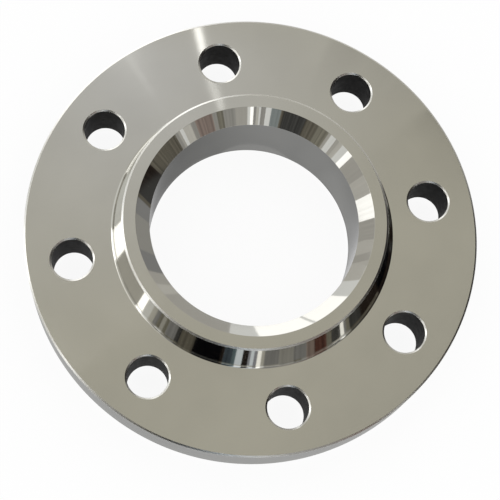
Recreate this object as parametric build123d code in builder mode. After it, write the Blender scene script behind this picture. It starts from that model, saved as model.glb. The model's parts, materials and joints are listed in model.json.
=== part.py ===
from build123d import *
import os

# Slip-on pipe flange with a short hub, turned from one piece of stainless steel.
# Sizes are in millimetres. The origin is the centre of the gasket face that the
# flange lies on, and +Z runs up along the pipe, through the plate and the hub.

# Bore, which the pipe slides into from the hub side
bore_diameter = 91.0
bore_edge_break = 1.0

# Bevel at the mouth of the bore, where the weld bead lies
bevel_width = 6.0
bevel_depth = 6.5

# Hub that stands on the plate
hub_height = 16.5
hub_land_width = 6.0
hub_flare = 3.0
hub_root_radius = 2.0

# Bolt holes, even in number and astride the X and Y axes
bolt_count = 8
bolt_hole_diameter = 18.0
hub_to_bolt_circle = 19.5

# Plate
plate_thickness = 22.0
bolt_circle_to_rim = 20.0

# Raised gasket face under the plate, which stops short of the bolt holes
raised_face_height = 2.0
bolt_hole_to_raised_face = 2.0

# Edges that the lathe and the drill leave sharp are broken
edge_break = 0.5

# Radii, from the bore outwards
bore_radius = bore_diameter / 2
bevel_radius = bore_radius + bevel_width
hub_top_radius = bevel_radius + hub_land_width
hub_foot_radius = hub_top_radius + hub_flare
bolt_circle_radius = hub_foot_radius + hub_to_bolt_circle
bolt_hole_radius = bolt_hole_diameter / 2
raised_face_radius = bolt_circle_radius - bolt_hole_radius - bolt_hole_to_raised_face
rim_radius = bolt_circle_radius + bolt_circle_to_rim

# Heights, from the gasket face up
plate_top = raised_face_height + plate_thickness
hub_top = plate_top + hub_height
bevel_foot = hub_top - bevel_depth


def corner(outline, radius, height):
    """Return the corner of the section nearest to this radius and height."""
    return outline.vertices().sort_by_distance((radius, height))[0]


with BuildPart() as flange:
    # Half section, turned once round the pipe's axis
    with BuildSketch(Plane.XZ) as section:
        with BuildLine():
            Polyline(
                (bore_radius, 0),
                (raised_face_radius, 0),
                (raised_face_radius, raised_face_height),
                (rim_radius, raised_face_height),
                (rim_radius, plate_top),
                (hub_foot_radius, plate_top),
                (hub_top_radius, hub_top),
                (bevel_radius, hub_top),
                (bore_radius, bevel_foot),
                close=True,
            )
        make_face()
        fillet(corner(section, hub_foot_radius, plate_top), hub_root_radius)
        chamfer(corner(section, bore_radius, 0), bore_edge_break)
        chamfer(corner(section, raised_face_radius, 0), edge_break)
        chamfer(corner(section, rim_radius, raised_face_height), edge_break)
        chamfer(corner(section, rim_radius, plate_top), edge_break)
        chamfer(corner(section, hub_top_radius, hub_top), edge_break)
    revolve(axis=Axis.Z)

    # Bolt holes through the plate, with both mouths broken
    with PolarLocations(bolt_circle_radius, bolt_count, start_angle=180 / bolt_count):
        Hole(bolt_hole_radius)
    hole_mouths = flange.edges(Select.LAST).filter_by(GeomType.CIRCLE)
    chamfer(hole_mouths, edge_break)

flange.part.label = "flange"

os.makedirs("parts", exist_ok=True)
export_step(flange.part, "parts/flange.step")
print("Rim", 2 * rim_radius, "bolt circle", 2 * bolt_circle_radius, "raised face", 2 * raised_face_radius)
print("Hub", 2 * hub_top_radius, "to", 2 * hub_foot_radius, "height over all", hub_top)
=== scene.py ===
# %% [markdown]
# Pipe flange, turned and drilled
#
# This lesson dresses one machined part: a slip-on pipe flange. On the real object a forged ring of
# stainless steel goes into a lathe, every face is turned, and a drill then makes the ring of bolt holes.
# The lesson follows the same order. The half section is drawn, turned round the axis and drilled, each
# cut gets the finish that its tool leaves, and a ring of studio panels gives the metal something to mirror.
#
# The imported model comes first, because it fixes where everything goes. Its box is kept for later.

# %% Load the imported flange
import json
import math

import bpy
from mathutils import Matrix, Vector


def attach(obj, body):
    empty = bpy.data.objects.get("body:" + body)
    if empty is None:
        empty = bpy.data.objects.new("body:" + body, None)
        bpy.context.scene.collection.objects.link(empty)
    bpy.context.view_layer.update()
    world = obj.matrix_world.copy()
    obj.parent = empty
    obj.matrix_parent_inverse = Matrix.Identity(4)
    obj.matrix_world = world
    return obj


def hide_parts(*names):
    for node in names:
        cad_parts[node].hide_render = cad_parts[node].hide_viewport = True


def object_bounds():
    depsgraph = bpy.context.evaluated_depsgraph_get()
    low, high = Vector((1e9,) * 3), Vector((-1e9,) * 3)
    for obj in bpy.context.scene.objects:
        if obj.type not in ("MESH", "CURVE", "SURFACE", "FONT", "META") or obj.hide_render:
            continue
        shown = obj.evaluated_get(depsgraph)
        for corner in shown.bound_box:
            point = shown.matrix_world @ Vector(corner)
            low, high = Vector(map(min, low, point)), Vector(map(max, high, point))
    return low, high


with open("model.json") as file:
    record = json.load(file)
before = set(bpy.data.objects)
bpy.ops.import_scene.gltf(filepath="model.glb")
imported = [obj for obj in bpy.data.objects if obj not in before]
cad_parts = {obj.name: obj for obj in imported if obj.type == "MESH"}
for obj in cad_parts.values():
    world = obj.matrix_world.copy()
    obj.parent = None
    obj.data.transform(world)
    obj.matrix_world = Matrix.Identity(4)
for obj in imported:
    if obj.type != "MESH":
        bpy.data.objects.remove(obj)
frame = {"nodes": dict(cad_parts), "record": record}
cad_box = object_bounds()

print("Nodes", sorted(frame["nodes"]), "box", cad_box)

# %% [markdown]
# Sizes
#
# The interfaces of the part are already stated in its record: the bore, the bolt circle and its holes.
# Reading them from there keeps the dressed part in step with the solid. The rest of the section can't be
# read from the record, so it is written here once, as on a workshop drawing. Two things differ a little
# from the solid, because the photo's mirror streaks show them. The hub's wall leans more and has a smaller
# root, within a millimetre and with the same foot. The broken edges of the hub, the rim and the bolt holes
# are wider than they are deep, so that they mirror the white strips that stand behind the part.

# %% Sizes of the section
MM = 0.001
mounts = {mount["name"]: mount for mount in frame["record"]["mounts"]}
bore_radius = mounts["pipe_bore"]["dims"]["r_mm"] * MM
bolt_circle_radius = mounts["bolt_holes"]["dims"]["pcd_mm"] / 2 * MM
bolt_hole_radius = mounts["bolt_holes"]["dims"]["hole_r_mm"] * MM
bolt_count = mounts["bolt_holes"]["dims"]["count"]
plate_top = mounts["nut_face"]["pos_m"][2]
hub_top = cad_box[1][2]
rim_radius = cad_box[1][0]

bevel_width = 6.0 * MM
bevel_depth = 6.5 * MM
land_width = 6.0 * MM
hub_flare = 3.8 * MM
root_radius = 1.2 * MM
break_width = 0.75 * MM
break_depth = 0.4 * MM
bore_edge_break = 1.0 * MM
gasket_edge_break = 0.5 * MM
raised_face_height = 2.0 * MM
bolt_hole_to_raised_face = 2.0 * MM

bevel_radius = bore_radius + bevel_width
hub_top_radius = bevel_radius + land_width
hub_foot_radius = hub_top_radius + hub_flare
raised_face_radius = bolt_circle_radius - bolt_hole_radius - bolt_hole_to_raised_face
print("Bore", bore_radius, "hub", hub_top_radius, "to", hub_foot_radius, "rim", rim_radius)

# %% [markdown]
# Finishes
#
# Each tool leaves its own skin. The faces are faced with a fine feed, and the hub and its bevel get a last
# light cut that leaves them almost like a mirror. The bore is bored and stays duller, and its darker colour
# is painted shade. The rim is turned coarsely, and its dark colour is painted shade. The drill leaves the
# bolt holes rough, and their near-black colour is painted shade. The edges are broken last, and their pale
# colour is a painted highlight. A number on every face remembers which cut made it, so that one mesh can
# carry several materials without being cut apart.

# %% Numbers for the finishes
FACED, BRIGHT, BROKEN, BORED, RIM, SERRATED, DRILLED = range(7)
FINISH_NAMES = ["faced_steel", "bright_steel", "broken_edge_painted_highlight", "bored_steel_painted_shade"]
FINISH_NAMES += ["rim_steel", "gasket_steel", "drilled_steel_painted_shade"]
print("Finishes", FINISH_NAMES)

# %% [markdown]
# Corners that catch the light
#
# No machined corner is perfectly sharp. A Bevel modifier could round them, but on a turned part it is
# simpler to round the corners of the drawing before it is turned. Each corner becomes a short arc, with a
# support point on both sides. The support points keep the flats flat: without them, smooth shading would
# bend the reflections right across a face.

# %% Round the corners of a section
EDGE_ROUND = 0.12 * MM
SUPPORT = 0.06 * MM
ARC_STEP = math.radians(10)


def section_points(corners):
    """Turn corners (radius, height, rounding, finish of the stretch that follows) into section points."""
    points = []
    for index, (radius, height, rounding, finish) in enumerate(corners):
        here = Vector((radius, height))
        if rounding == 0:
            points.append((here, finish))
            continue
        finish_before = corners[index - 1][3]
        back = (Vector(corners[index - 1][:2]) - here).normalized()
        ahead = (Vector(corners[index + 1][:2]) - here).normalized()
        half_angle = back.angle(ahead) / 2
        reach = rounding / math.tan(half_angle)
        centre = here + (back + ahead).normalized() * rounding / math.sin(half_angle)
        start = here + back * reach - centre
        end = here + ahead * reach - centre
        swing = start.angle_signed(end)
        steps = max(2, math.ceil(abs(swing) / ARC_STEP))
        points.append((here + back * (reach + SUPPORT), finish_before))
        for step in range(steps + 1):
            spoke = start.copy()
            spoke.rotate(Matrix.Rotation(-swing * step / steps, 2))
            points.append((centre + spoke, finish_before if step < steps / 2 else finish))
        points.append((here + ahead * (reach + SUPPORT), finish))
    return points


def put_in_scene(name, data):
    """An object with this data, linked to the scene."""
    item = bpy.data.objects.new(name, data)
    bpy.context.scene.collection.objects.link(item)
    return item


def section_object(name, corners):
    """Put a section on the XZ plane as a chain of edges, with the finish stored on its points."""
    points = section_points(corners)
    mesh = bpy.data.meshes.new(name)
    mesh.from_pydata([(p.x, 0, p.y) for p, _ in points], [(i, i + 1) for i in range(len(points) - 1)], [])
    finish = mesh.attributes.new("finish", "INT", "POINT")
    finish.data.foreach_set("value", [f for _, f in points])
    print(name, "has", len(points), "points")
    return put_in_scene(name, mesh)


# %% [markdown]
# The drawing
#
# The outline is open where the plate's two faces are, because those get the bolt holes. What is left is
# three chains of corners: the hub with the bore and the raised face, the rim, and one bolt hole. The
# raised face that presses on the gasket has fine serrations, so their ridges are real geometry too.

# %% Draw the three sections
SEAM = 0.2 * MM
SERRATION_PITCH = 0.8 * MM
SERRATION_DEPTH = 0.05 * MM
RIDGE_WIDTH = 0.25 * MM

down_wall = Vector((hub_foot_radius - hub_top_radius, plate_top - hub_top)).normalized() * break_depth
root_reach = root_radius / math.tan((math.pi / 2 + math.atan2(down_wall.x, -down_wall.y)) / 2)
upper_inner = hub_foot_radius + root_reach + SUPPORT + SEAM
lower_inner = raised_face_radius + EDGE_ROUND + SUPPORT + SEAM
outer = rim_radius - break_width - EDGE_ROUND - SEAM
mouth = bolt_hole_radius + break_width + EDGE_ROUND + SEAM

hub_corners = [
    (upper_inner, plate_top, 0, FACED),
    (hub_foot_radius, plate_top, root_radius, BRIGHT),
    (hub_top_radius + down_wall.x, hub_top + down_wall.y, EDGE_ROUND, BROKEN),
    (hub_top_radius - break_width, hub_top, EDGE_ROUND, FACED),
    (bevel_radius, hub_top, EDGE_ROUND, BRIGHT),
    (bore_radius, hub_top - bevel_depth, EDGE_ROUND, BORED),
    (bore_radius, bore_edge_break, EDGE_ROUND, BROKEN),
    (bore_radius + bore_edge_break, 0, EDGE_ROUND, SERRATED),
]
first_ridge = bore_radius + bore_edge_break + SERRATION_PITCH
last_ridge = raised_face_radius - gasket_edge_break - SERRATION_PITCH
ridge_count = int((last_ridge - first_ridge) / SERRATION_PITCH)
for ridge in range(ridge_count):
    start = first_ridge + ridge * SERRATION_PITCH
    hub_corners.append((start, 0, 0, SERRATED))
    hub_corners.append((start + RIDGE_WIDTH, 0, 0, SERRATED))
    hub_corners.append((start + (SERRATION_PITCH + RIDGE_WIDTH) / 2, SERRATION_DEPTH, 0, SERRATED))
hub_corners += [
    (first_ridge + ridge_count * SERRATION_PITCH, 0, 0, SERRATED),
    (raised_face_radius - gasket_edge_break, 0, EDGE_ROUND, BROKEN),
    (raised_face_radius, gasket_edge_break, EDGE_ROUND, RIM),
    (raised_face_radius, raised_face_height, EDGE_ROUND, FACED),
    (lower_inner, raised_face_height, 0, FACED),
]


def wall_corners(radius, side, finish):
    """Corners of a straight wall between the plate's faces; side is +1 for a hole and -1 for the rim."""
    break_radius = radius + side * break_width
    face_radius = break_radius + side * (EDGE_ROUND + SEAM)
    low = raised_face_height
    return [
        (face_radius, plate_top, 0, FACED),
        (break_radius, plate_top, EDGE_ROUND, BROKEN),
        (radius, plate_top - break_depth, EDGE_ROUND, finish),
        (radius, low + break_depth, EDGE_ROUND, BROKEN),
        (break_radius, low, EDGE_ROUND, FACED),
        (face_radius, low, 0, FACED),
    ]


hub_section = section_object("hub_section", hub_corners)
rim_section = section_object("rim_section", wall_corners(rim_radius, -1, RIM))
hole_section = section_object("hole_section", wall_corners(bolt_hole_radius, 1, DRILLED))

# %% [markdown]
# Building node trees
#
# The flange follows a rule, so Geometry Nodes can make all of it from the three sections. Writing a tree
# in code takes many small steps. A few helpers make them short: they add a node, join two sockets, start a
# tree with named inputs, and calculate.

# %% Helpers for node trees
def add(tree, kind, **settings):
    """Add a node with its settings, to the right of those that are there."""
    node = tree.nodes.new(kind)
    node.location = (200 * len(tree.nodes), 0)
    for name, value in settings.items():
        setattr(node, name, value)
    return node


def join(tree, source, target):
    """Join an output to an input, or set the input where the source is a plain value."""
    if isinstance(source, bpy.types.NodeSocket):
        tree.links.new(source, target)
    else:
        target.default_value = source


def new_tree(name, inputs):
    """A geometry tree with named inputs and one geometry output."""
    tree = bpy.data.node_groups.new(name, "GeometryNodeTree")
    for input_name, kind in inputs:
        tree.interface.new_socket(name=input_name, in_out="INPUT", socket_type=kind)
    tree.interface.new_socket(name="Geometry", in_out="OUTPUT", socket_type="NodeSocketGeometry")
    return tree, add(tree, "NodeGroupInput"), add(tree, "NodeGroupOutput")


def math_node(tree, operation, a, b=0.0, kind="ShaderNodeMath"):
    """A Math node with one or two inputs."""
    node = add(tree, kind, operation=operation)
    join(tree, a, node.inputs[0])
    join(tree, b, node.inputs[1])
    return node.outputs[0]


def whole_math(tree, operation, a, b):
    """The same for two whole numbers."""
    return math_node(tree, operation, a, b, "FunctionNodeIntegerMath")


# %% [markdown]
# Steps that repeat in geometry
#
# Three more helpers are for geometry alone. One sends it through a node, one reads the finish numbers, and
# one looks a value up in other geometry.

# %% Helpers for geometry
def through(tree, kind, geometry, **inputs):
    """Send geometry through one node, with its other inputs set by name."""
    node = add(tree, kind)
    join(tree, geometry, node.inputs[0])
    for name, value in inputs.items():
        join(tree, value, node.inputs[name])
    return node.outputs[0]


def stored_finish(tree):
    """The finish numbers that geometry carries."""
    node = add(tree, "GeometryNodeInputNamedAttribute", data_type="INT")
    node.inputs["Name"].default_value = "finish"
    return node.outputs["Attribute"]


def looked_up(tree, geometry, value, index, data_type):
    """A value read at one point of other geometry."""
    node = add(tree, "GeometryNodeSampleIndex", data_type=data_type, domain="POINT")
    join(tree, geometry, node.inputs["Geometry"])
    join(tree, value, node.inputs["Value"])
    join(tree, index, node.inputs["Index"])
    return node.outputs["Value"]


# %% [markdown]
# A lathe made of nodes
#
# A spin could be made with the Screw modifier, but the same rule is needed for the body and for the holes,
# so it becomes a node group. The trick is a grid: one direction counts the points of the section, the
# other counts steps round the axis. Every grid point looks up its section point and is placed at that
# radius, height and angle. The seam is closed by merging. The finish number travels from the section's
# points to the faces in the same way.

# %% The lathe as a node group
TOUCHING = 0.001 * MM


def lathe_group():
    """Node group that turns a section once round the Z axis."""
    inputs = [("Section", "NodeSocketObject"), ("Steps", "NodeSocketInt")]
    tree, given, result = new_tree("lathe", inputs)
    source = add(tree, "GeometryNodeObjectInfo", transform_space="ORIGINAL")
    join(tree, given.outputs["Section"], source.inputs["Object"])
    section = source.outputs["Geometry"]
    count = add(tree, "GeometryNodeAttributeDomainSize", component="MESH")
    join(tree, section, count.inputs["Geometry"])
    points = count.outputs["Point Count"]
    stretches = count.outputs["Edge Count"]

    grid = add(tree, "GeometryNodeMeshGrid")
    join(tree, whole_math(tree, "ADD", given.outputs["Steps"], 1), grid.inputs["Vertices X"])
    join(tree, points, grid.inputs["Vertices Y"])

    index = add(tree, "GeometryNodeInputIndex").outputs[0]
    along = whole_math(tree, "MODULO", index, points)
    around = whole_math(tree, "DIVIDE_FLOOR", index, points)
    turn = math_node(tree, "DIVIDE", around, given.outputs["Steps"])
    angle = math_node(tree, "MULTIPLY", turn, math.tau)

    position = add(tree, "GeometryNodeInputPosition").outputs[0]
    place = add(tree, "ShaderNodeSeparateXYZ")
    join(tree, looked_up(tree, section, position, along, "FLOAT_VECTOR"), place.inputs[0])
    turned = add(tree, "ShaderNodeCombineXYZ")
    cosine = math_node(tree, "COSINE", angle)
    sine = math_node(tree, "SINE", angle)
    join(tree, math_node(tree, "MULTIPLY", place.outputs["X"], cosine), turned.inputs["X"])
    join(tree, math_node(tree, "MULTIPLY", place.outputs["X"], sine), turned.inputs["Y"])
    join(tree, place.outputs["Z"], turned.inputs["Z"])
    wrapped = through(tree, "GeometryNodeSetPosition", grid.outputs["Mesh"], Position=turned.outputs[0])

    stretch = whole_math(tree, "MODULO", index, stretches)
    finish = looked_up(tree, section, stored_finish(tree), stretch, "INT")
    marked = add(tree, "GeometryNodeStoreNamedAttribute", data_type="INT", domain="FACE")
    marked.inputs["Name"].default_value = "finish"
    join(tree, wrapped, marked.inputs["Geometry"])
    join(tree, finish, marked.inputs["Value"])
    closed = through(tree, "GeometryNodeMergeByDistance", marked.outputs["Geometry"], Distance=TOUCHING)
    join(tree, closed, result.inputs["Geometry"])
    return tree


lathe = lathe_group()
print("Lathe group has", len(lathe.nodes), "nodes")

# %% [markdown]
# The plate's faces, with their ring of holes
#
# A Boolean could drill the holes, but it leaves untidy corners where mirrors show every fault. A flat face
# needs no Boolean: circles for its two borders and for each hole are filled with Fill Curve. The holes
# are one circle placed on the points of a bigger circle, so their number is a plain input.

# %% A flat face with holes
def circle_curve(tree, radius, steps):
    """A circle with its first point on the X axis, as the lathe has it."""
    node = add(tree, "GeometryNodeCurvePrimitiveCircle", mode="RADIUS")
    join(tree, radius, node.inputs["Radius"])
    join(tree, steps, node.inputs["Resolution"])
    return node.outputs["Curve"]


def on_points(tree, points, instance):
    """A copy of the instance on every point."""
    node = add(tree, "GeometryNodeInstanceOnPoints")
    join(tree, points, node.inputs["Points"])
    join(tree, instance, node.inputs["Instance"])
    return node.outputs["Instances"]


def joined(tree, parts):
    """All parts in one geometry."""
    node = add(tree, "GeometryNodeJoinGeometry")
    for part in parts:
        tree.links.new(part, node.inputs[0])
    return node.outputs[0]


def plate_face(tree, given, points, side):
    """The upper or lower flat face, from its inner circle to the rim, with a round gap for each hole."""
    steps = given.outputs["Turning Steps"]
    inner = given.outputs[side + " Inner Radius"]
    gap = circle_curve(tree, given.outputs["Mouth Radius"], given.outputs["Hole Steps"])
    borders = [
        circle_curve(tree, given.outputs["Outer Radius"], steps),
        circle_curve(tree, inner, steps),
        on_points(tree, points, gap),
    ]
    outlines = through(tree, "GeometryNodeRealizeInstances", joined(tree, borders))
    filled = through(tree, "GeometryNodeFillCurve", outlines)
    lift = add(tree, "ShaderNodeCombineXYZ")
    join(tree, given.outputs[side + " Height"], lift.inputs["Z"])
    return through(tree, "GeometryNodeTransform", filled, Translation=lift.outputs[0])


# %% [markdown]
# Turning and drilling in one tree
#
# The lathe runs three times: for the hub with the bore, for the rim, and for the wall of one hole. The
# points of the bolt circle carry the copies of that wall. All parts are merged where they touch, and each
# face gets the material of its finish number.

# %% The flange as one tree
def flange_tree(materials):
    """Tree that turns, drills and finishes the whole flange."""
    lengths = ["Bolt Circle Radius", "First Bolt Angle", "Mouth Radius", "Outer Radius"]
    lengths += ["Upper Inner Radius", "Upper Height", "Lower Inner Radius", "Lower Height"]
    inputs = [(name, "NodeSocketObject") for name in ("Hub Section", "Rim Section", "Hole Section")]
    inputs += [(name, "NodeSocketInt") for name in ("Turning Steps", "Hole Steps", "Bolt Count")]
    inputs += [(name, "NodeSocketFloat") for name in lengths]
    tree, given, result = new_tree("turned_and_drilled", inputs)

    turned = []
    for section, steps in (("Hub Section", "Turning Steps"), ("Rim Section", "Turning Steps"),
                           ("Hole Section", "Hole Steps")):
        node = add(tree, "GeometryNodeGroup", node_tree=lathe)
        join(tree, given.outputs[section], node.inputs["Section"])
        join(tree, given.outputs[steps], node.inputs["Steps"])
        turned.append(node.outputs["Geometry"])
    hub, rim, hole = turned

    ring = add(tree, "GeometryNodeMeshCircle", fill_type="NONE")
    join(tree, given.outputs["Bolt Count"], ring.inputs["Vertices"])
    join(tree, given.outputs["Bolt Circle Radius"], ring.inputs["Radius"])
    twist = add(tree, "ShaderNodeCombineXYZ")
    join(tree, given.outputs["First Bolt Angle"], twist.inputs["Z"])
    points = through(tree, "GeometryNodeTransform", ring.outputs["Mesh"], Rotation=twist.outputs[0])

    upper = plate_face(tree, given, points, "Upper")
    lower = through(tree, "GeometryNodeFlipFaces", plate_face(tree, given, points, "Lower"))
    rim = through(tree, "GeometryNodeFlipFaces", rim)

    whole = joined(tree, [hub, rim, on_points(tree, points, hole), upper, lower])
    whole = through(tree, "GeometryNodeRealizeInstances", whole)
    whole = through(tree, "GeometryNodeMergeByDistance", whole, Distance=TOUCHING)
    whole = through(tree, "GeometryNodeSetShadeSmooth", whole)
    finish = stored_finish(tree)
    whole = through(tree, "GeometryNodeSetMaterial", whole, Material=materials[0])
    for number, material in enumerate(materials[1:], start=1):
        same = add(tree, "FunctionNodeCompare", data_type="INT", operation="EQUAL")
        join(tree, finish, same.inputs[2])
        join(tree, number, same.inputs[3])
        chosen = same.outputs[0]
        whole = through(tree, "GeometryNodeSetMaterial", whole, Selection=chosen, Material=material)
    join(tree, whole, result.inputs["Geometry"])
    return tree


materials = [bpy.data.materials.new(name) for name in FINISH_NAMES]
flange_nodes = flange_tree(materials)
print("Flange tree has", len(flange_nodes.nodes), "nodes")

# %% [markdown]
# Running the tree
#
# The modifier's inputs are set by each socket's identifier before the object is evaluated. The result is
# then taken as a plain mesh, and the modifier, the host and the sections go away, so that only finished
# geometry is left in the scene. The empty material slot that the host brings along is dropped.

# %% Run the tree and keep a plain mesh
TURNING_STEPS = 288
HOLE_STEPS = 64

host = put_in_scene("host", bpy.data.meshes.new("host"))
modifier = host.modifiers.new("turn_and_drill", "NODES")
modifier.node_group = flange_nodes
values = {
    "Hub Section": hub_section,
    "Rim Section": rim_section,
    "Hole Section": hole_section,
    "Turning Steps": TURNING_STEPS,
    "Hole Steps": HOLE_STEPS,
    "Bolt Count": bolt_count,
    "Bolt Circle Radius": bolt_circle_radius,
    "First Bolt Angle": math.pi / bolt_count,
    "Mouth Radius": mouth,
    "Outer Radius": outer,
    "Upper Inner Radius": upper_inner,
    "Upper Height": plate_top,
    "Lower Inner Radius": lower_inner,
    "Lower Height": raised_face_height,
}
for socket in flange_nodes.interface.items_tree:
    if socket.in_out == "INPUT":
        modifier[socket.identifier] = values[socket.name]
bpy.context.view_layer.update()
evaluated = host.evaluated_get(bpy.context.evaluated_depsgraph_get())
flange_mesh = bpy.data.meshes.new_from_object(evaluated)
flange_mesh.name = "turned_flange"
for helper in (host, hub_section, rim_section, hole_section):
    bpy.data.objects.remove(helper)
if flange_mesh.materials[0] is None:
    flange_mesh.materials.pop(index=0)
turned_flange = put_in_scene("turned_flange", flange_mesh)
print("Mesh has", len(flange_mesh.vertices), "vertices and", len(flange_mesh.polygons), "faces")
print("Materials on the mesh", [material.name for material in flange_mesh.materials])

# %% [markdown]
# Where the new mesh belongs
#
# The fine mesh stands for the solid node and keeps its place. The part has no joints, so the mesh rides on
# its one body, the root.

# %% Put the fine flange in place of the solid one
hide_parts("flange")
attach(turned_flange, "root")
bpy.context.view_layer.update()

# %% [markdown]
# Marks of the tool
#
# A lathe tool leaves a very fine thread. Its lines run round the axis, so all lathe patterns here depend
# on one number: how far the tool has travelled along the section, which is radius plus height. The same
# lines are the reason for the bright fan that turned metal shows: light spreads across the lines and
# hardly along them. In the shader that is anisotropy. The tangent is worked out from Object coordinates,
# so it follows the part's own axis.

# %% Helpers for patterns
def shader_vector(tree, operation, a, b=None):
    """A Vector Math node."""
    node = add(tree, "ShaderNodeVectorMath", operation=operation)
    join(tree, a, node.inputs[0])
    if b is not None:
        join(tree, b, node.inputs[1])
    return node.outputs["Value"] if operation == "LENGTH" else node.outputs["Vector"]


def tool_travel(tree, place):
    """Radius plus height: the way of the tool along the section."""
    flat = shader_vector(tree, "MULTIPLY", place, (1, 1, 0))
    height = add(tree, "ShaderNodeSeparateXYZ")
    join(tree, place, height.inputs[0])
    return math_node(tree, "ADD", shader_vector(tree, "LENGTH", flat), height.outputs["Z"])


def noise(tree, source, size, detail, dimensions="3D"):
    """A Noise Texture whose features are about this size, in the unit of its source."""
    node = add(tree, "ShaderNodeTexNoise", noise_dimensions=dimensions)
    join(tree, source, node.inputs["W" if dimensions == "1D" else "Vector"])
    node.inputs["Scale"].default_value = 1 / size
    node.inputs["Detail"].default_value = detail
    return node.outputs["Fac"]


NOISE_LOW = 0.3
NOISE_HIGH = 0.7


def spread(tree, source, low, high):
    """Map a noise, which seldom leaves its middle range, to the range from low to high."""
    node = add(tree, "ShaderNodeMapRange")
    join(tree, source, node.inputs["Value"])
    node.inputs["From Min"].default_value = NOISE_LOW
    node.inputs["From Max"].default_value = NOISE_HIGH
    join(tree, low, node.inputs["To Min"])
    join(tree, high, node.inputs["To Max"])
    return node.outputs["Result"]


def blend(tree, factor, low, high):
    """Mix two colours."""
    node = add(tree, "ShaderNodeMix", data_type="RGBA")
    join(tree, factor, node.inputs[0])
    join(tree, low, node.inputs[6])
    join(tree, high, node.inputs[7])
    return node.outputs[2]


# %% [markdown]
# From patterns to a surface
#
# A pattern becomes relief through a Bump node. Every material in this lesson starts from an empty tree
# with one shader, and the patterns are joined to its inputs.

# %% Helpers for a surface
def bumped(tree, height, depth, strength):
    """A Bump node for a height between 0 and 1 that stands for this depth in metres."""
    node = add(tree, "ShaderNodeBump")
    node.inputs["Strength"].default_value = strength
    node.inputs["Distance"].default_value = depth
    join(tree, height, node.inputs["Height"])
    return node.outputs["Normal"]


def with_shader(material, kind):
    """Empty a material's tree and give it an output and one shader, which feeds the output."""
    material.use_nodes = True
    tree = material.node_tree
    tree.nodes.clear()
    output = add(tree, "ShaderNodeOutputMaterial")
    shader = add(tree, kind)
    join(tree, shader.outputs[0], output.inputs["Surface"])
    return tree, shader, output


# %% [markdown]
# Turned steel
#
# The turned finishes differ only in numbers: how fine the feed was, how sharp the tool, and how dark or
# pale the colour is, which on the bore and the rim is painted shade and on the broken edges a painted
# highlight. One function makes them all. Soft patches of slightly different grey keep the metal from
# looking drawn. The tool lines are a fine relief, and wider bands along the section change the roughness a
# little.

# %% Turned finishes
STREAKED = 1.0
QUARTER_TURN = 0.25
BAND_SIZE = 6 * MM
PATCH_SIZE = 30 * MM
DULL = 0.96
CLEAR = 1.03
WEAR = 0.04
LINE_STRENGTH = 0.6


def turned_steel(material, colour, roughness, feed, depth, anisotropy, grazing_shade_tint=1.0):
    """Steel as a lathe tool leaves it, with lines round the axis."""
    tree, shader, _ = with_shader(material, "ShaderNodeBsdfPrincipled")
    place = add(tree, "ShaderNodeTexCoord").outputs["Object"]
    travel = tool_travel(tree, place)
    lines = noise(tree, travel, feed, 3, "1D")
    bands = noise(tree, travel, BAND_SIZE, 2, "1D")
    patches = noise(tree, place, PATCH_SIZE, 3)
    dull = [DULL * part for part in colour] + [1]
    clear = [min(1, CLEAR * part) for part in colour] + [1]
    join(tree, blend(tree, spread(tree, patches, 0.0, 1.0), dull, clear), shader.inputs["Base Color"])
    worn = spread(tree, bands, (1 - WEAR) * roughness, (1 + WEAR) * roughness)
    join(tree, worn, shader.inputs["Roughness"])
    join(tree, bumped(tree, lines, depth, LINE_STRENGTH), shader.inputs["Normal"])
    shader.inputs["Metallic"].default_value = 1.0
    shader.inputs["Anisotropic"].default_value = anisotropy
    shader.inputs["Anisotropic Rotation"].default_value = QUARTER_TURN
    # A grazing shade tint below 1 darkens the reflections at grazing angles: painted shade.
    shader.inputs["Specular Tint"].default_value = (grazing_shade_tint, grazing_shade_tint, grazing_shade_tint, 1)
    join(tree, shader_vector(tree, "CROSS_PRODUCT", (0, 0, 1), place), shader.inputs["Tangent"])
    print(material.name, "roughness", roughness, "feed", feed)


faced, bright, broken, bored, rim_turned, gasket, drilled = materials
turned_steel(faced, (0.68, 0.67, 0.63), 0.065, 0.25 * MM, 0.0003 * MM, STREAKED)
turned_steel(bright, (0.68, 0.67, 0.65), 0.06, 0.2 * MM, 0.0003 * MM, STREAKED)
# The pale colour of the broken edges is a painted highlight.
turned_steel(broken, (0.88, 0.87, 0.85), 0.28, 0.2 * MM, 0.0005 * MM, 0.3)
# The bore's darker colour and its grazing tint of 0.3 are painted shade.
turned_steel(bored, (0.40, 0.40, 0.39), 0.15, 0.4 * MM, 0.0008 * MM, 0.3, grazing_shade_tint=0.3)
# The rim's dark colour is painted shade.
turned_steel(rim_turned, (0.24, 0.24, 0.23), 0.30, 0.4 * MM, 0.002 * MM, 0.8)
turned_steel(gasket, (0.60, 0.59, 0.57), 0.25, 0.2 * MM, 0.0005 * MM, 0.8)

# %% [markdown]
# Drilled holes
#
# A twist drill rubs on the wall of the hole and leaves it rough and scored. Its near-black colour, far from
# the brightness of the turned faces, is painted shade for the deep hole. The scores follow the height and
# change slowly round the hole. Patches of cutting oil make the colour uneven. Under the oil there is little
# of the metal's shine left, so this finish isn't a mirror at all.

# %% Drilled finish
SCORE_STRETCH = (0.2, 0.2, 1)
SCORE_PITCH = 0.5 * MM
SCORE_DEPTH = 0.02 * MM
OIL_SIZE = 5 * MM


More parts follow.
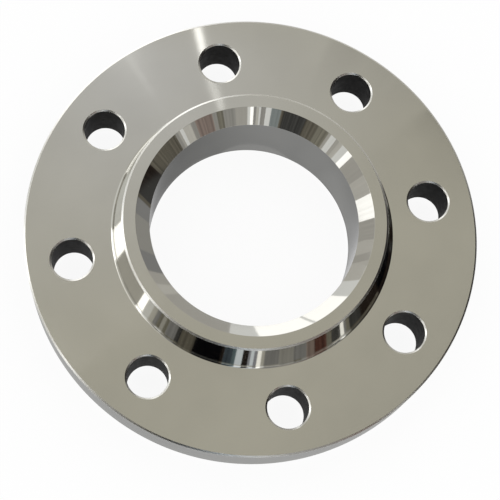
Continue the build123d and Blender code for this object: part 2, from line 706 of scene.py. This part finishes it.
def drilled_steel_painted_shade(material, colour, roughness):
    """Steel as a twist drill leaves it, rough and scored; its dark colour is painted shade."""
    tree, shader, _ = with_shader(material, "ShaderNodeBsdfPrincipled")
    place = add(tree, "ShaderNodeTexCoord").outputs["Object"]
    scores = noise(tree, shader_vector(tree, "MULTIPLY", place, SCORE_STRETCH), SCORE_PITCH, 3)
    oil = noise(tree, place, OIL_SIZE, 3)
    dark = [0.5 * part for part in colour] + [1]
    light = [1.6 * part for part in colour] + [1]
    join(tree, blend(tree, spread(tree, oil, 0.0, 1.0), dark, light), shader.inputs["Base Color"])
    join(tree, spread(tree, scores, 0.8 * roughness, 1.2 * roughness), shader.inputs["Roughness"])
    join(tree, bumped(tree, scores, SCORE_DEPTH, 0.5), shader.inputs["Normal"])
    shader.inputs["Metallic"].default_value = 0.0
    shader.inputs["Specular IOR Level"].default_value = 0.05
    print(material.name, "roughness", roughness)


# The near-black colour is painted shade for the deep hole; the oil patches vary it at random.
drilled_steel_painted_shade(drilled, (0.010, 0.0094, 0.0088), 0.6)

# %% [markdown]
# The floor and the air
#
# The flange lies on its gasket face on a plain pale floor, in even light from all round. Metal has no
# colour of its own to show: it looks like what stands about it. So the even light is only half of the
# studio, and the panels that the metal mirrors come later.

# %% Floor and world
FLOOR_SIZE = 12.0
FLOOR_GAP = 0.05 * MM

world = bpy.data.worlds.new("even_air")
bpy.context.scene.world = world
world.use_nodes = True
air = world.node_tree.nodes["Background"]
air.inputs["Color"].default_value = (1, 1, 1, 1)
air.inputs["Strength"].default_value = 1.0

half = FLOOR_SIZE / 2
floor_mesh = bpy.data.meshes.new("floor")
floor_plan = [(-half, -half), (half, -half), (half, half), (-half, half)]
floor_corners = [(x, y, -FLOOR_GAP) for x, y in floor_plan]
floor_mesh.from_pydata(floor_corners, [], [(0, 1, 2, 3)])
floor = put_in_scene("floor", floor_mesh)
print("Floor", FLOOR_SIZE, "m wide")

# %% [markdown]
# A floor that stays white
#
# Most of the floor's white is given straight to the rays that look at it or mirror it, so that it stays
# white inside the bore and the bolt holes. The rest is lit, and keeps the soft shadow.

# %% White of the floor
FLOOR_WHITE_SHARE = 0.92
PAPER = (0.95, 0.95, 0.95, 1)


def glowing(name, mesh):
    """Give a mesh a new material that glows."""
    material = bpy.data.materials.new(name)
    mesh.materials.append(material)
    return with_shader(material, "ShaderNodeEmission")


def mix_shaders(tree, share, first, second, output):
    """Mix two shaders, by the share of the second, and let the mix feed the output."""
    mixed = add(tree, "ShaderNodeMixShader")
    join(tree, share, mixed.inputs[0])
    join(tree, first.outputs[0], mixed.inputs[1])
    join(tree, second.outputs[0], mixed.inputs[2])
    join(tree, mixed.outputs[0], output.inputs["Surface"])


tree, white, output = glowing("pale_floor", floor_mesh)
paper = add(tree, "ShaderNodeBsdfDiffuse")
paper.inputs["Color"].default_value = PAPER
rays = add(tree, "ShaderNodeLightPath")
seen = math_node(tree, "MAXIMUM", rays.outputs["Is Camera Ray"], rays.outputs["Is Glossy Ray"])
seen = math_node(tree, "MAXIMUM", seen, rays.outputs["Is Transmission Ray"])
mix_shaders(tree, math_node(tree, "MULTIPLY", seen, FLOOR_WHITE_SHARE), paper, white, output)
print("Floor gives", FLOOR_WHITE_SHARE, "of its white to the rays that see it")

# %% [markdown]
# Panels for the metal to mirror
#
# A photographer would stand dark and light cards round such a part, because without them turned steel
# looks like grey plastic. Here they are one ring of tall strips. The bevel mirrors their feet and the
# hub, by way of the plate, mirrors their heads. In the photo the same streaks show in both, a little
# further apart in the hub, so the strips fan out towards their heads. On the camera's side the heads
# lean in over the part, because the hub looks up steeply there. The broken edges mirror the white feet
# behind the part, which gives the thin white lines on the hub and round the bolt holes.
#
# Each row below is one strip: the compass angle where its foot starts, the cloth at its foot and the
# cloth at its head. It ends where the next one starts. The cloths have names, as in a studio.

# %% Strips of cloth
cloths = {
    "black": (0.001, 0.001, 0.002),
    "soot": (0.02, 0.015, 0.012),
    "charcoal": (0.055, 0.055, 0.052),
    "brown": (0.13, 0.12, 0.095),
    "olive": (0.21, 0.20, 0.16),
    "wine": (0.09, 0.04, 0.03),
    "rose": (0.25, 0.20, 0.175),
    "slate": (0.055, 0.073, 0.09),
    "sea": (0.13, 0.18, 0.20),
    "teal": (0.25, 0.28, 0.275),
    "ash": (0.25, 0.25, 0.245),
    "haze": (0.33, 0.34, 0.38),
    "dim": (0.32, 0.315, 0.29),
    "grey": (0.43, 0.42, 0.38),
    "pale": (0.54, 0.53, 0.48),
    "bright": (0.78, 0.79, 0.76),
    "frost": (0.85, 0.93, 1.0),
    "white": (1.5, 1.5, 1.45),
    "glare": (2.4, 2.4, 2.35),
}
strips = [
    (-206, "pale", "bright"),
    (-195, "grey", "bright"),
    (-183.5, "white", "glare"),
    (-169.6, "pale", "pale"),
    (-158, "grey", "pale"),
    (-145, "white", "glare"),
    (-140.6, "bright", "bright"),
    (-136, "pale", "pale"),
    (-133, "grey", "ash"),
    (-130.5, "bright", "olive"),
    (-128.5, "bright", "grey"),
    (-126.3, "grey", "olive"),
    (-124.3, "olive", "ash"),
    (-118.5, "olive", "charcoal"),
    (-116, "brown", "brown"),
    (-107.5, "charcoal", "black"),
    (-92.3, "brown", "soot"),
    (-90.4, "teal", "slate"),
    (-86, "teal", "sea"),
    (-84, "bright", "frost"),
    (-80.3, "dim", "soot"),
    (-77.2, "bright", "haze"),
    (-76, "pale", "frost"),
    (-74.2, "dim", "haze"),
    (-72.4, "white", "white"),
    (-70.2, "bright", "pale"),
    (-68.4, "grey", "ash"),
    (-60.5, "dim", "dim"),
    (-52.5, "olive", "ash"),
    (-48.4, "dim", "ash"),
    (-45.5, "rose", "rose"),
    (-41, "rose", "wine"),
    (-34, "dim", "olive"),
    (-31, "pale", "charcoal"),
    (-25.6, "bright", "white"),
    (-23.4, "grey", "ash"),
    (-21.8, "dim", "olive"),
    (-19.8, "brown", "charcoal"),
    (-12, "brown", "soot"),
    (2, "soot", "black"),
    (20.5, "charcoal", "black"),
    (24.5, "soot", "black"),
    (31, "charcoal", "soot"),
    (38, "dim", "charcoal"),
    (45, "grey", "grey"),
    (70, "pale", "pale"),
    (84, "grey", "pale"),
    (103, "bright", "pale"),
    (110, "white", "pale"),
    (112, "white", "white"),
    (122, "white", "bright"),
    (130, "white", "pale"),
    (151, "grey", "pale"),
]
print("Cloths", len(cloths), "strips", len(strips))

# %% [markdown]
# Hanging the cloth
#
# A strip has seven rows of points from foot to head. It stands straight up to its shoulder and then leans
# in. The strips spread to both sides as they rise, slowly at first and faster near the top, which keeps
# each streak in line across the hub and its root.

# %% Shape of a strip
RING_RADIUS = 2.0
RING_HEIGHT = 3.9
FOOT_TOP = 0.75
HEAD_START = 1.05
SHOULDER = 2.2
LEAN_ROWS = (0, 0.3, 0.6, 1)
CROWN_RADIUS = 0.68
CROWN_OPENING = 1.2
OPENING_FROM = 91.40625
OPENING_SPAN = 28.125
CAMERA_SIDE = (-206, 38)
FAN_CENTRE = -93
FAN_FROM = 20
FAN_SPAN = 42
FAN_STRENGTH = 0.213
FAN_GROWTH = 1.7


def fanned(angle, height, radius):
    """The compass angle of a strip at this height and radius, from the angle of its foot."""
    steepness = math.degrees(math.atan2(height, radius))
    fan = 1 + FAN_STRENGTH * (max(0, steepness - FAN_FROM) / FAN_SPAN) ** FAN_GROWTH
    if CAMERA_SIDE[0] <= angle <= CAMERA_SIDE[1]:
        return FAN_CENTRE + fan * (angle - FAN_CENTRE)
    first = FAN_CENTRE + fan * (CAMERA_SIDE[1] - FAN_CENTRE)
    last = FAN_CENTRE + fan * (CAMERA_SIDE[0] - FAN_CENTRE) + 360
    share = (angle - CAMERA_SIDE[1]) / (CAMERA_SIDE[0] + 360 - CAMERA_SIDE[1])
    return first + share * (last - first)


def ring_point(angle, height, radius=RING_RADIUS):
    """A point at this compass angle, height and radius."""
    turn = math.radians(angle)
    return (radius * math.cos(turn), radius * math.sin(turn), height)


def strip_edge(angle):
    """Points up one edge of a strip. Its head leans in on the camera's side and hardly behind the part."""
    aside = min(360 - abs(angle - FAN_CENTRE), abs(angle - FAN_CENTRE))
    crown = CROWN_RADIUS + CROWN_OPENING * min(1, max(0, (aside - OPENING_FROM) / OPENING_SPAN))
    edge = [ring_point(angle, height) for height in (0, FOOT_TOP, HEAD_START)]
    for rise in LEAN_ROWS:
        height = SHOULDER + rise * (RING_HEIGHT - SHOULDER)
        radius = RING_RADIUS + rise * (crown - RING_RADIUS)
        edge.append(ring_point(fanned(angle, height, radius), height, radius))
    return edge


print("A strip's edge has", len(strip_edge(0)), "points")

# %% [markdown]
# The ring as a mesh
#
# The ring is plain mesh code. Each strip is cut into pieces a few degrees wide, so that the ring is round,
# and every face corner gets a colour. Between foot and head the two cloths run into each other.

# %% Ring of panels
PIECE_DEGREES = 4


def in_pieces(rows, last_end):
    """Each row, once for every piece of its strip, with the two angles of that piece."""
    ends = [row[0] for row in rows[1:]] + [last_end]
    for row, end in zip(rows, ends):
        start = row[0]
        pieces = math.ceil((end - start) / PIECE_DEGREES)
        for piece in range(pieces):
            yield row, [start + (end - start) * share / pieces for share in (piece, piece + 1)]


def paint(mesh, colours):
    """Store a colour on every face corner."""
    shade = mesh.attributes.new("shade", "FLOAT_COLOR", "CORNER")
    shade.data.foreach_set("color", [part for colour in colours for part in (*colour, 1)])


ring_corners = []
ring_faces = []
corner_shades = []
corner_turns = []
for (_, foot, head), turns in in_pieces(strips, strips[0][0] + 360):
    left = strip_edge(turns[0])
    right = strip_edge(turns[1])
    first = len(ring_corners)
    ring_corners += left + right
    for level in range(len(left) - 1):
        foot_left = first + level
        foot_right = foot_left + len(left)
        ring_faces.append((foot_left, foot_right, foot_right + 1, foot_left + 1))
        low = cloths[foot if level < 2 else head]
        high = cloths[foot if level < 1 else head]
        corner_shades += [low, low, high, high]
        corner_turns += [turns[0], turns[1], turns[1], turns[0]]

ring_mesh = bpy.data.meshes.new("panel_ring")
ring_mesh.from_pydata(ring_corners, [], ring_faces)
paint(ring_mesh, corner_shades)
turn_mark = ring_mesh.attributes.new("turn", "FLOAT", "CORNER")
turn_mark.data.foreach_set("value", corner_turns)
print("Ring has", len(ring_faces), "faces")

# %% [markdown]
# Folds in the cloth
#
# A noise along the ring varies the light from fold to fold, more in dark cloth than in white, and gives
# the metal its fine streaks. Only mirror rays see the ring, so it casts no shadow and no extra light.

# %% Light of the ring
FOLD_DEGREES = 1.6
DARK_SLACK = 0.5
LIGHT_SLACK = 0.05
LIGHT_FROM = 0.35


def glossy_only(item):
    """Let only mirror rays see this."""
    item.visible_camera = False
    item.visible_diffuse = False
    item.visible_transmission = False
    item.visible_volume_scatter = False
    item.visible_shadow = False


tree, glow, _ = glowing("studio_cloth", ring_mesh)
around = add(tree, "ShaderNodeAttribute", attribute_name="turn")
cloth = add(tree, "ShaderNodeAttribute", attribute_name="shade")
slack = add(tree, "ShaderNodeMapRange")
join(tree, cloth.outputs["Fac"], slack.inputs["Value"])
slack.inputs["From Max"].default_value = LIGHT_FROM
slack.inputs["To Min"].default_value = DARK_SLACK
slack.inputs["To Max"].default_value = LIGHT_SLACK
dimmest = math_node(tree, "SUBTRACT", 1.0, slack.outputs["Result"])
brightest = math_node(tree, "ADD", 1.0, slack.outputs["Result"])
folds = spread(tree, noise(tree, around.outputs["Fac"], FOLD_DEGREES, 3, "1D"), dimmest, brightest)
join(tree, cloth.outputs["Color"], glow.inputs["Color"])
join(tree, folds, glow.inputs["Strength"])
panel_ring = put_in_scene("panel_ring", ring_mesh)
glossy_only(panel_ring)
print("Folds", FOLD_DEGREES, "degrees wide")

# %% [markdown]
# The ceiling cloth
#
# The plate and the land on the hub are flat, so they mirror one patch of the ceiling. In the photo that
# patch is warm and plain, with one cooler and slightly brighter place. A cloth with a single round glow
# gives the same calm, uneven grey.

# %% Ceiling
PLAIN_CLOTH = (0.495, 0.480, 0.412, 1)
COOL_GLOW = (0.635, 0.636, 0.642, 1)
GLOW_CENTRE = (-0.45, 1.72, RING_HEIGHT)
GLOW_REACH = 0.98
CEILING_SIDES = 48

ceiling_mesh = bpy.data.meshes.new("ceiling")
ceiling_corners = [ring_point(360 * side / CEILING_SIDES, RING_HEIGHT) for side in range(CEILING_SIDES)]
ceiling_mesh.from_pydata(ceiling_corners, [], [tuple(range(CEILING_SIDES))])
tree, glow, _ = glowing("ceiling_cloth", ceiling_mesh)
place = add(tree, "ShaderNodeTexCoord").outputs["Object"]
away = shader_vector(tree, "LENGTH", shader_vector(tree, "SUBTRACT", place, GLOW_CENTRE))
share = add(tree, "ShaderNodeMapRange")
join(tree, away, share.inputs["Value"])
share.inputs["From Max"].default_value = GLOW_REACH
join(tree, blend(tree, share.outputs["Result"], COOL_GLOW, PLAIN_CLOTH), glow.inputs["Color"])
ceiling = put_in_scene("ceiling", ceiling_mesh)
glossy_only(ceiling)
print("Ceiling at", RING_HEIGHT, "m")

# %% [markdown]
# A card bent round inside the bore
#
# The near half of the bevel looks down and across, to the far wall of the bore. In the photo that half is
# white at the bottom, pale on its right and grey on its left. A card bent round inside the bore, close to
# the far wall, gives the bevel these strips. Its back lets every ray through, so the wall behind it still
# mirrors the floor. The rows are written as for the ring: the angle where a strip starts, and its cloth.

# %% Card in the bore
CARD_GAP = 0.3 * MM
CARD_FOOT = 3 * MM
CARD_END = 168
card_strips = [
    (10, "charcoal"),
    (37.5, "brown"),
    (39.5, "ash"),
    (47, "dim"),
    (61, "ash"),
    (68, "grey"),
    (72, "pale"),
    (75, "grey"),
    (87.5, "bright"),
    (92, "white"),
    (103.2, "bright"),
    (104, "white"),
    (116.5, "bright"),
    (124.5, "pale"),
    (134.5, "grey"),
    (139, "pale"),
    (147, "grey"),
]

card_corners = []
card_shades = []
for (_, cloth_name), turns in in_pieces(card_strips, CARD_END):
    for height in (CARD_FOOT, hub_top):
        card_corners += [ring_point(turn, height, bore_radius - CARD_GAP) for turn in turns]
    card_shades += [cloths[cloth_name]] * 4
card_faces = [(first, first + 2, first + 3, first + 1) for first in range(0, len(card_corners), 4)]
card_mesh = bpy.data.meshes.new("bore_card")
card_mesh.from_pydata(card_corners, [], card_faces)
paint(card_mesh, card_shades)

tree, front, output = glowing("one_sided_card", card_mesh)
join(tree, add(tree, "ShaderNodeAttribute", attribute_name="shade").outputs["Color"], front.inputs["Color"])
back = add(tree, "ShaderNodeBsdfTransparent")
mix_shaders(tree, add(tree, "ShaderNodeNewGeometry").outputs["Backfacing"], front, back, output)
bore_card = put_in_scene("bore_card", card_mesh)
glossy_only(bore_card)
inwards = card_mesh.polygons[0].normal.dot(card_mesh.polygons[0].center) < 0
print("Card has", len(card_faces), "faces, front to the axis:", inwards)

# %% [markdown]
# A shaded collar on the floor inside the bore
#
# The far wall of the bore mirrors the floor at its own foot. In the photo that wall is lightest on its
# right and darkens evenly to its left, so the floor there can't be plain. A flat collar at the foot of the
# wall gives the shading. Its brightness is set at a few angles, and the colours run softly between them.

# %% Collar in the bore
COLLAR_HEIGHT = 0.3 * MM
COLLAR_WIDTH = 16 * MM
collar_shades = {
    -6: 1.1, 10: 1.4, 24: 1.6, 40: 1.35, 60: 0.95,
    76: 0.8, 120: 0.76, 144: 0.9, 170: 0.75, 186: 0.9,
}

collar_corners = []
for angle in collar_shades:
    for radius in (bore_radius - COLLAR_WIDTH, bore_radius):
        collar_corners.append(ring_point(angle, COLLAR_HEIGHT, radius))
collar_faces = [(first, first + 1, first + 3, first + 2) for first in range(0, len(collar_corners) - 2, 2)]
collar_mesh = bpy.data.meshes.new("bore_collar")
collar_mesh.from_pydata(collar_corners, [], collar_faces)
shade = collar_mesh.attributes.new("shade", "FLOAT", "POINT")
shade.data.foreach_set("value", [level for level in collar_shades.values() for _ in range(2)])

tree, glow, _ = glowing("shaded_collar", collar_mesh)
join(tree, add(tree, "ShaderNodeAttribute", attribute_name="shade").outputs["Fac"], glow.inputs["Strength"])
bore_collar = put_in_scene("bore_collar", collar_mesh)
glossy_only(bore_collar)
print("Collar has", len(collar_faces), "faces")

# %% [markdown]
# Slim lamps for the streaks
#
# On turned metal a lamp doesn't give a spot but a streak that runs straight out from the axis. The photo
# has one clear streak on the plate, its end on the land, and a faint one near the rim. Each comes from a
# slim, weak lamp high behind the part, turned in line with its streak. The lamps light mirror rays only,
# so the white of the floor isn't touched.

# %% Streak lamps
def streak_lamp(name, centre, angle, length, width, energy):
    """A slim lamp above, in line with a streak at this compass angle on the plate."""
    data = bpy.data.lights.new(name, "AREA")
    data.shape = "RECTANGLE"
    data.size = length
    data.size_y = width
    data.energy = energy
    lamp = put_in_scene(name, data)
    away = Vector(centre).normalized()
    outwards = Vector(ring_point(angle, 0, 1))
    along = (outwards - outwards.dot(away) * away).normalized()
    lamp.matrix_world = Matrix((along, away.cross(along), away)).transposed().to_4x4()
    lamp.location = centre
    lamp.visible_camera = False
    lamp.visible_diffuse = False
    lamp.visible_transmission = False
    print(name, "at", centre)


streak_lamp("main_streak", (-0.232, 1.703, 3.624), angle=116.6, length=0.13, width=0.022, energy=0.020)
streak_lamp("faint_streak", (-0.411, 1.574, 3.672), angle=136.4, length=0.11, width=0.02, energy=0.0012)
streak_lamp("land_streak", (-0.125, 1.496, 3.624), angle=118.0, length=0.03, width=0.02, energy=0.004)

# %% [markdown]
# Camera
#
# The camera looks down steeply, and it is turned a little about its own line of sight, as by a hand that
# held it. Its place comes from the edges in the photo: rim, bore and bolt circle are circles of known
# size, and only one viewpoint shows them as those ellipses.

# %% Camera at the photo's viewpoint
AIM = Vector((0.0006, -0.0093, 0.0241))
DISTANCE = 0.6280
ELEVATION = math.radians(73.54)
AZIMUTH = math.radians(-93.51)
ROLL = math.radians(15.78)
FOCAL_LENGTH = 103.2
SENSOR_WIDTH = 36.0

back = Vector((
    math.cos(ELEVATION) * math.cos(AZIMUTH),
    math.cos(ELEVATION) * math.sin(AZIMUTH),
    math.sin(ELEVATION),
))
level_right = Vector((0, 0, 1)).cross(back).normalized()
level_up = back.cross(level_right)
right = math.cos(ROLL) * level_right + math.sin(ROLL) * level_up
up = math.cos(ROLL) * level_up - math.sin(ROLL) * level_right

lens = bpy.data.cameras.new("camera")
lens.lens = FOCAL_LENGTH
lens.sensor_width = SENSOR_WIDTH
lens.clip_start = 0.01
camera = put_in_scene("camera", lens)
camera.matrix_world = Matrix((right, up, back)).transposed().to_4x4()
camera.location = AIM + DISTANCE * back
bpy.context.scene.camera = camera
bpy.context.scene.view_settings.view_transform = "Standard"
print("Camera at", [round(part, 4) for part in camera.location])
